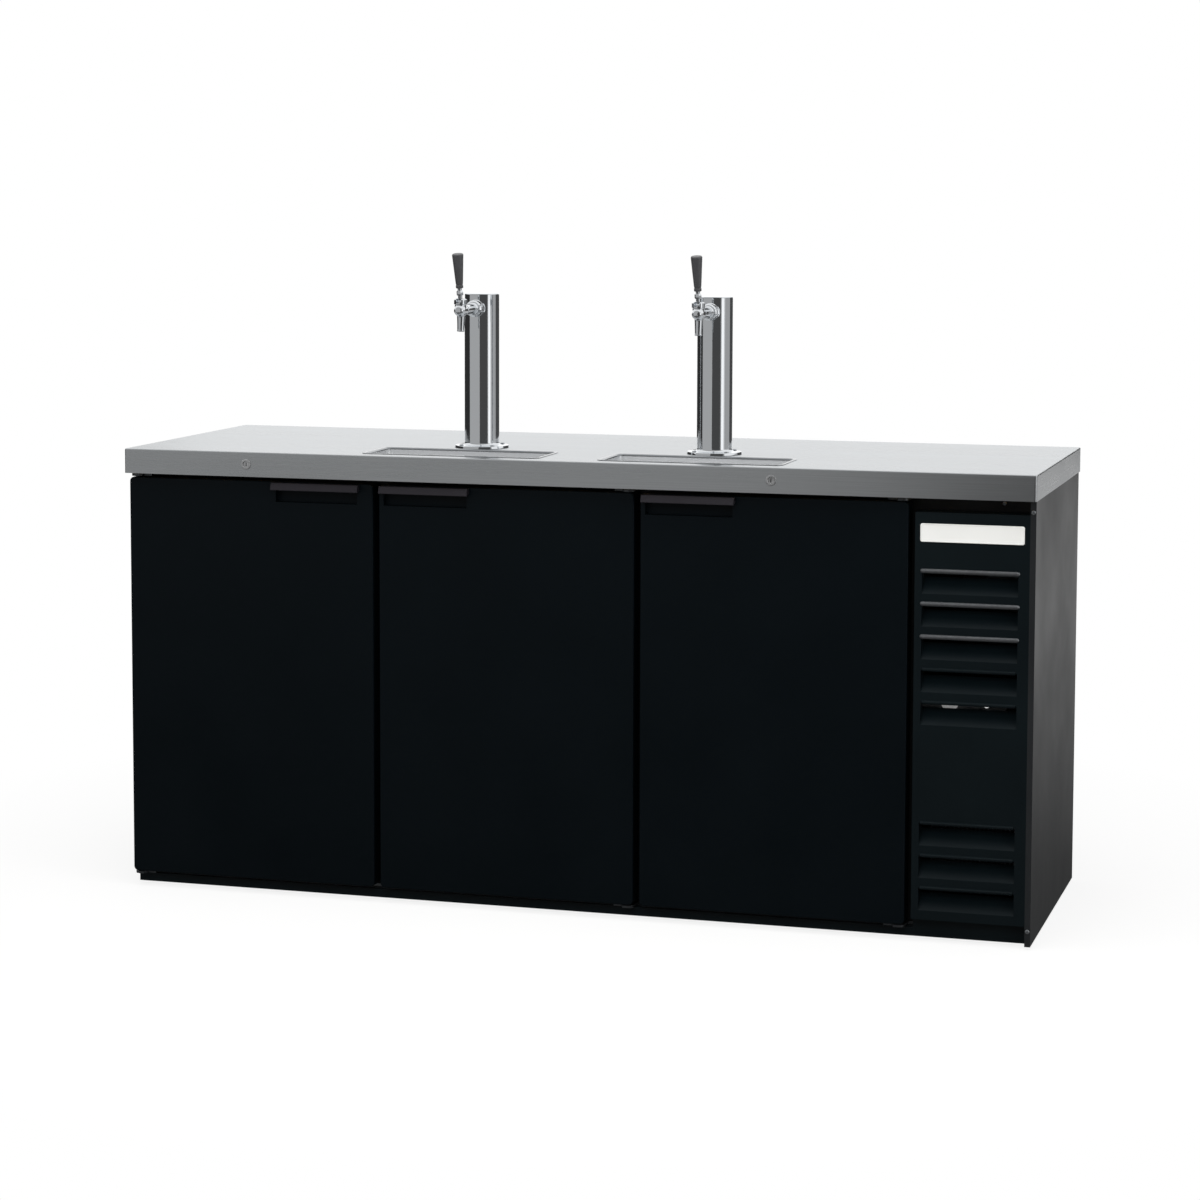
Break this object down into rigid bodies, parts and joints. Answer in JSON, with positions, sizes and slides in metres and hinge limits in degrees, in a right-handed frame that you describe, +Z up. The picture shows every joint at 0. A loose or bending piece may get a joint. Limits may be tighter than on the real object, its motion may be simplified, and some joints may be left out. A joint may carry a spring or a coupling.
{
  "type": "draft beer cooler",
  "caption": "Three-door direct-draw keg cooler with a stainless worktop, chrome draft columns, recessed drip trays and a louvred machine compartment.",
  "frame": {"origin": "floor level under the centre of the worktop", "axes": "+X to the machine compartment end, -Y out of the doors, +Z up"},
  "size_m": [2.006, 0.68, 1.4129],
  "materials": {
    "stainless": "satin",
    "chrome": "polished",
    "zinc_steel": "satin",
    "door_black": "satin",
    "side_grey": "satin",
    "grille_black": "satin",
    "frame_black": "matte",
    "pull_grey": "satin",
    "handle_black": "gloss",
    "plate_white": "satin",
    "gasket_black": "matte",
    "foot_black": "matte",
    "liner_steel": "satin",
    "galvanised": "matte",
    "foam": "matte",
    "core_board": "matte",
    "coil_fin": "satin",
    "compressor_black": "gloss",
    "motor_grey": "satin",
    "fan_black": "matte",
    "white_plastic": "satin",
    "valve_brass": "satin"
  },
  "bodies": {
    "cabinet": {"countertop": "stainless", "drip_tray_left": "stainless", "drip_tray_right": "stainless", "tower_left_column": "chrome", "tower_right_column": "chrome", "tower_caps": "chrome", "tap_shanks": "chrome", "coupling_nuts": "chrome", "faucet_left_body": "chrome", "faucet_right_body": "chrome", "faucet_bonnets": "chrome", "panel_screws": "zinc_steel", "tower_screws": "zinc_steel", "hinge_brackets": "zinc_steel", "lock_barrels": "zinc_steel", "left_side_panel": "side_grey", "right_side_panel": "side_grey", "grille_panel": "grille_black", "kick_plate": "grille_black", "face_frame": "frame_black", "machine_frame": "frame_black", "nameplate": "plate_white", "levelling_feet": "foot_black", "cabinet_liner": "liner_steel", "rear_panel": "galvanised", "base_pan": "galvanised", "condenser_shroud": "galvanised", "insulation": "foam", "counter_core": "core_board", "condenser_coil": "coil_fin", "evaporator_coil": "coil_fin", "compressor": "compressor_black", "fan_motors": "motor_grey", "control_box": "motor_grey", "evaporator_cover": "white_plastic"},
    "door_left": {"door_left_shell": "door_black", "door_left_liner": "liner_steel", "door_left_gasket": "gasket_black", "door_left_pull": "pull_grey"},
    "door_middle": {"door_middle_shell": "door_black", "door_middle_liner": "liner_steel", "door_middle_gasket": "gasket_black", "door_middle_pull": "pull_grey"},
    "door_right": {"door_right_shell": "door_black", "door_right_liner": "liner_steel", "door_right_gasket": "gasket_black", "door_right_pull": "pull_grey"},
    "lock_left": {"lock_plug_left": "zinc_steel"},
    "lock_right": {"lock_plug_right": "zinc_steel"},
    "tap_left": {"faucet_left_lever": "chrome", "tap_handle_left": "handle_black"},
    "tap_right": {"faucet_right_lever": "chrome", "tap_handle_right": "handle_black"},
    "valve_left": {"valve_shaft_left": "valve_brass"},
    "valve_right": {"valve_shaft_right": "valve_brass"},
    "grid_left": {"drip_grid_left": "stainless"},
    "grid_right": {"drip_grid_right": "stainless"},
    "condenser_rotor": {"condenser_fan": "fan_black"},
    "evaporator_rotor": {"evaporator_fan": "white_plastic"},
    "thermostat": {"thermostat_knob": "white_plastic"}
  },
  "joints": [
    {"name": "door_left_hinge", "type": "hinge", "parent": "cabinet", "child": "door_left", "pos_m": [-0.986, -0.304, 0.475], "axis": [0, 0, -1], "range_deg": [0, 105]},
    {"name": "door_middle_hinge", "type": "hinge", "parent": "cabinet", "child": "door_middle", "pos_m": [0.14, -0.304, 0.475], "axis": [0, 0, 1], "range_deg": [0, 105]},
    {"name": "door_right_hinge", "type": "hinge", "parent": "cabinet", "child": "door_right", "pos_m": [0.724, -0.304, 0.475], "axis": [0, 0, 1], "range_deg": [0, 105]},
    {"name": "lock_left_turn", "type": "hinge", "parent": "cabinet", "child": "lock_left", "pos_m": [-0.715, -0.33, 0.953], "axis": [0, 1, 0], "range_deg": [0, 90]},
    {"name": "lock_right_turn", "type": "hinge", "parent": "cabinet", "child": "lock_right", "pos_m": [0.453, -0.33, 0.953], "axis": [0, 1, 0], "range_deg": [0, 90]},
    {"name": "tap_left_pull", "type": "hinge", "parent": "cabinet", "child": "tap_left", "pos_m": [-0.265, -0.216, 1.305], "axis": [1, 0, 0], "range_deg": [0, 30]},
    {"name": "tap_right_pull", "type": "hinge", "parent": "cabinet", "child": "tap_right", "pos_m": [0.265, -0.216, 1.305], "axis": [1, 0, 0], "range_deg": [0, 30]},
    {"name": "valve_left_slide", "type": "slide", "parent": "cabinet", "child": "valve_left", "axis": [0, 1, 0], "range_m": [0, 0.008]},
    {"name": "valve_right_slide", "type": "slide", "parent": "cabinet", "child": "valve_right", "axis": [0, 1, 0], "range_m": [0, 0.008]},
    {"name": "grid_left_lift", "type": "slide", "parent": "cabinet", "child": "grid_left", "axis": [0, 0, 1], "range_m": [0, 0.1]},
    {"name": "grid_right_lift", "type": "slide", "parent": "cabinet", "child": "grid_right", "axis": [0, 0, 1], "range_m": [0, 0.1]},
    {"name": "condenser_fan_spin", "type": "hinge", "parent": "cabinet", "child": "condenser_rotor", "pos_m": [0.8725, -0.13, 0.21], "axis": [0, 1, 0], "continuous": true},
    {"name": "evaporator_fan_spin", "type": "hinge", "parent": "cabinet", "child": "evaporator_rotor", "pos_m": [0.608, 0.027, 0.696], "axis": [1, 0, 0], "continuous": true},
    {"name": "thermostat_turn", "type": "hinge", "parent": "cabinet", "child": "thermostat", "pos_m": [0.817, -0.259, 0.494], "axis": [0, 1, 0], "range_deg": [-120, 120]}
  ],
  "couplings": [
    {"joint": "valve_left_slide", "follows": "tap_left_pull", "m_per_rad": 0.01455},
    {"joint": "valve_right_slide", "follows": "tap_right_pull", "m_per_rad": 0.01455}
  ]
}
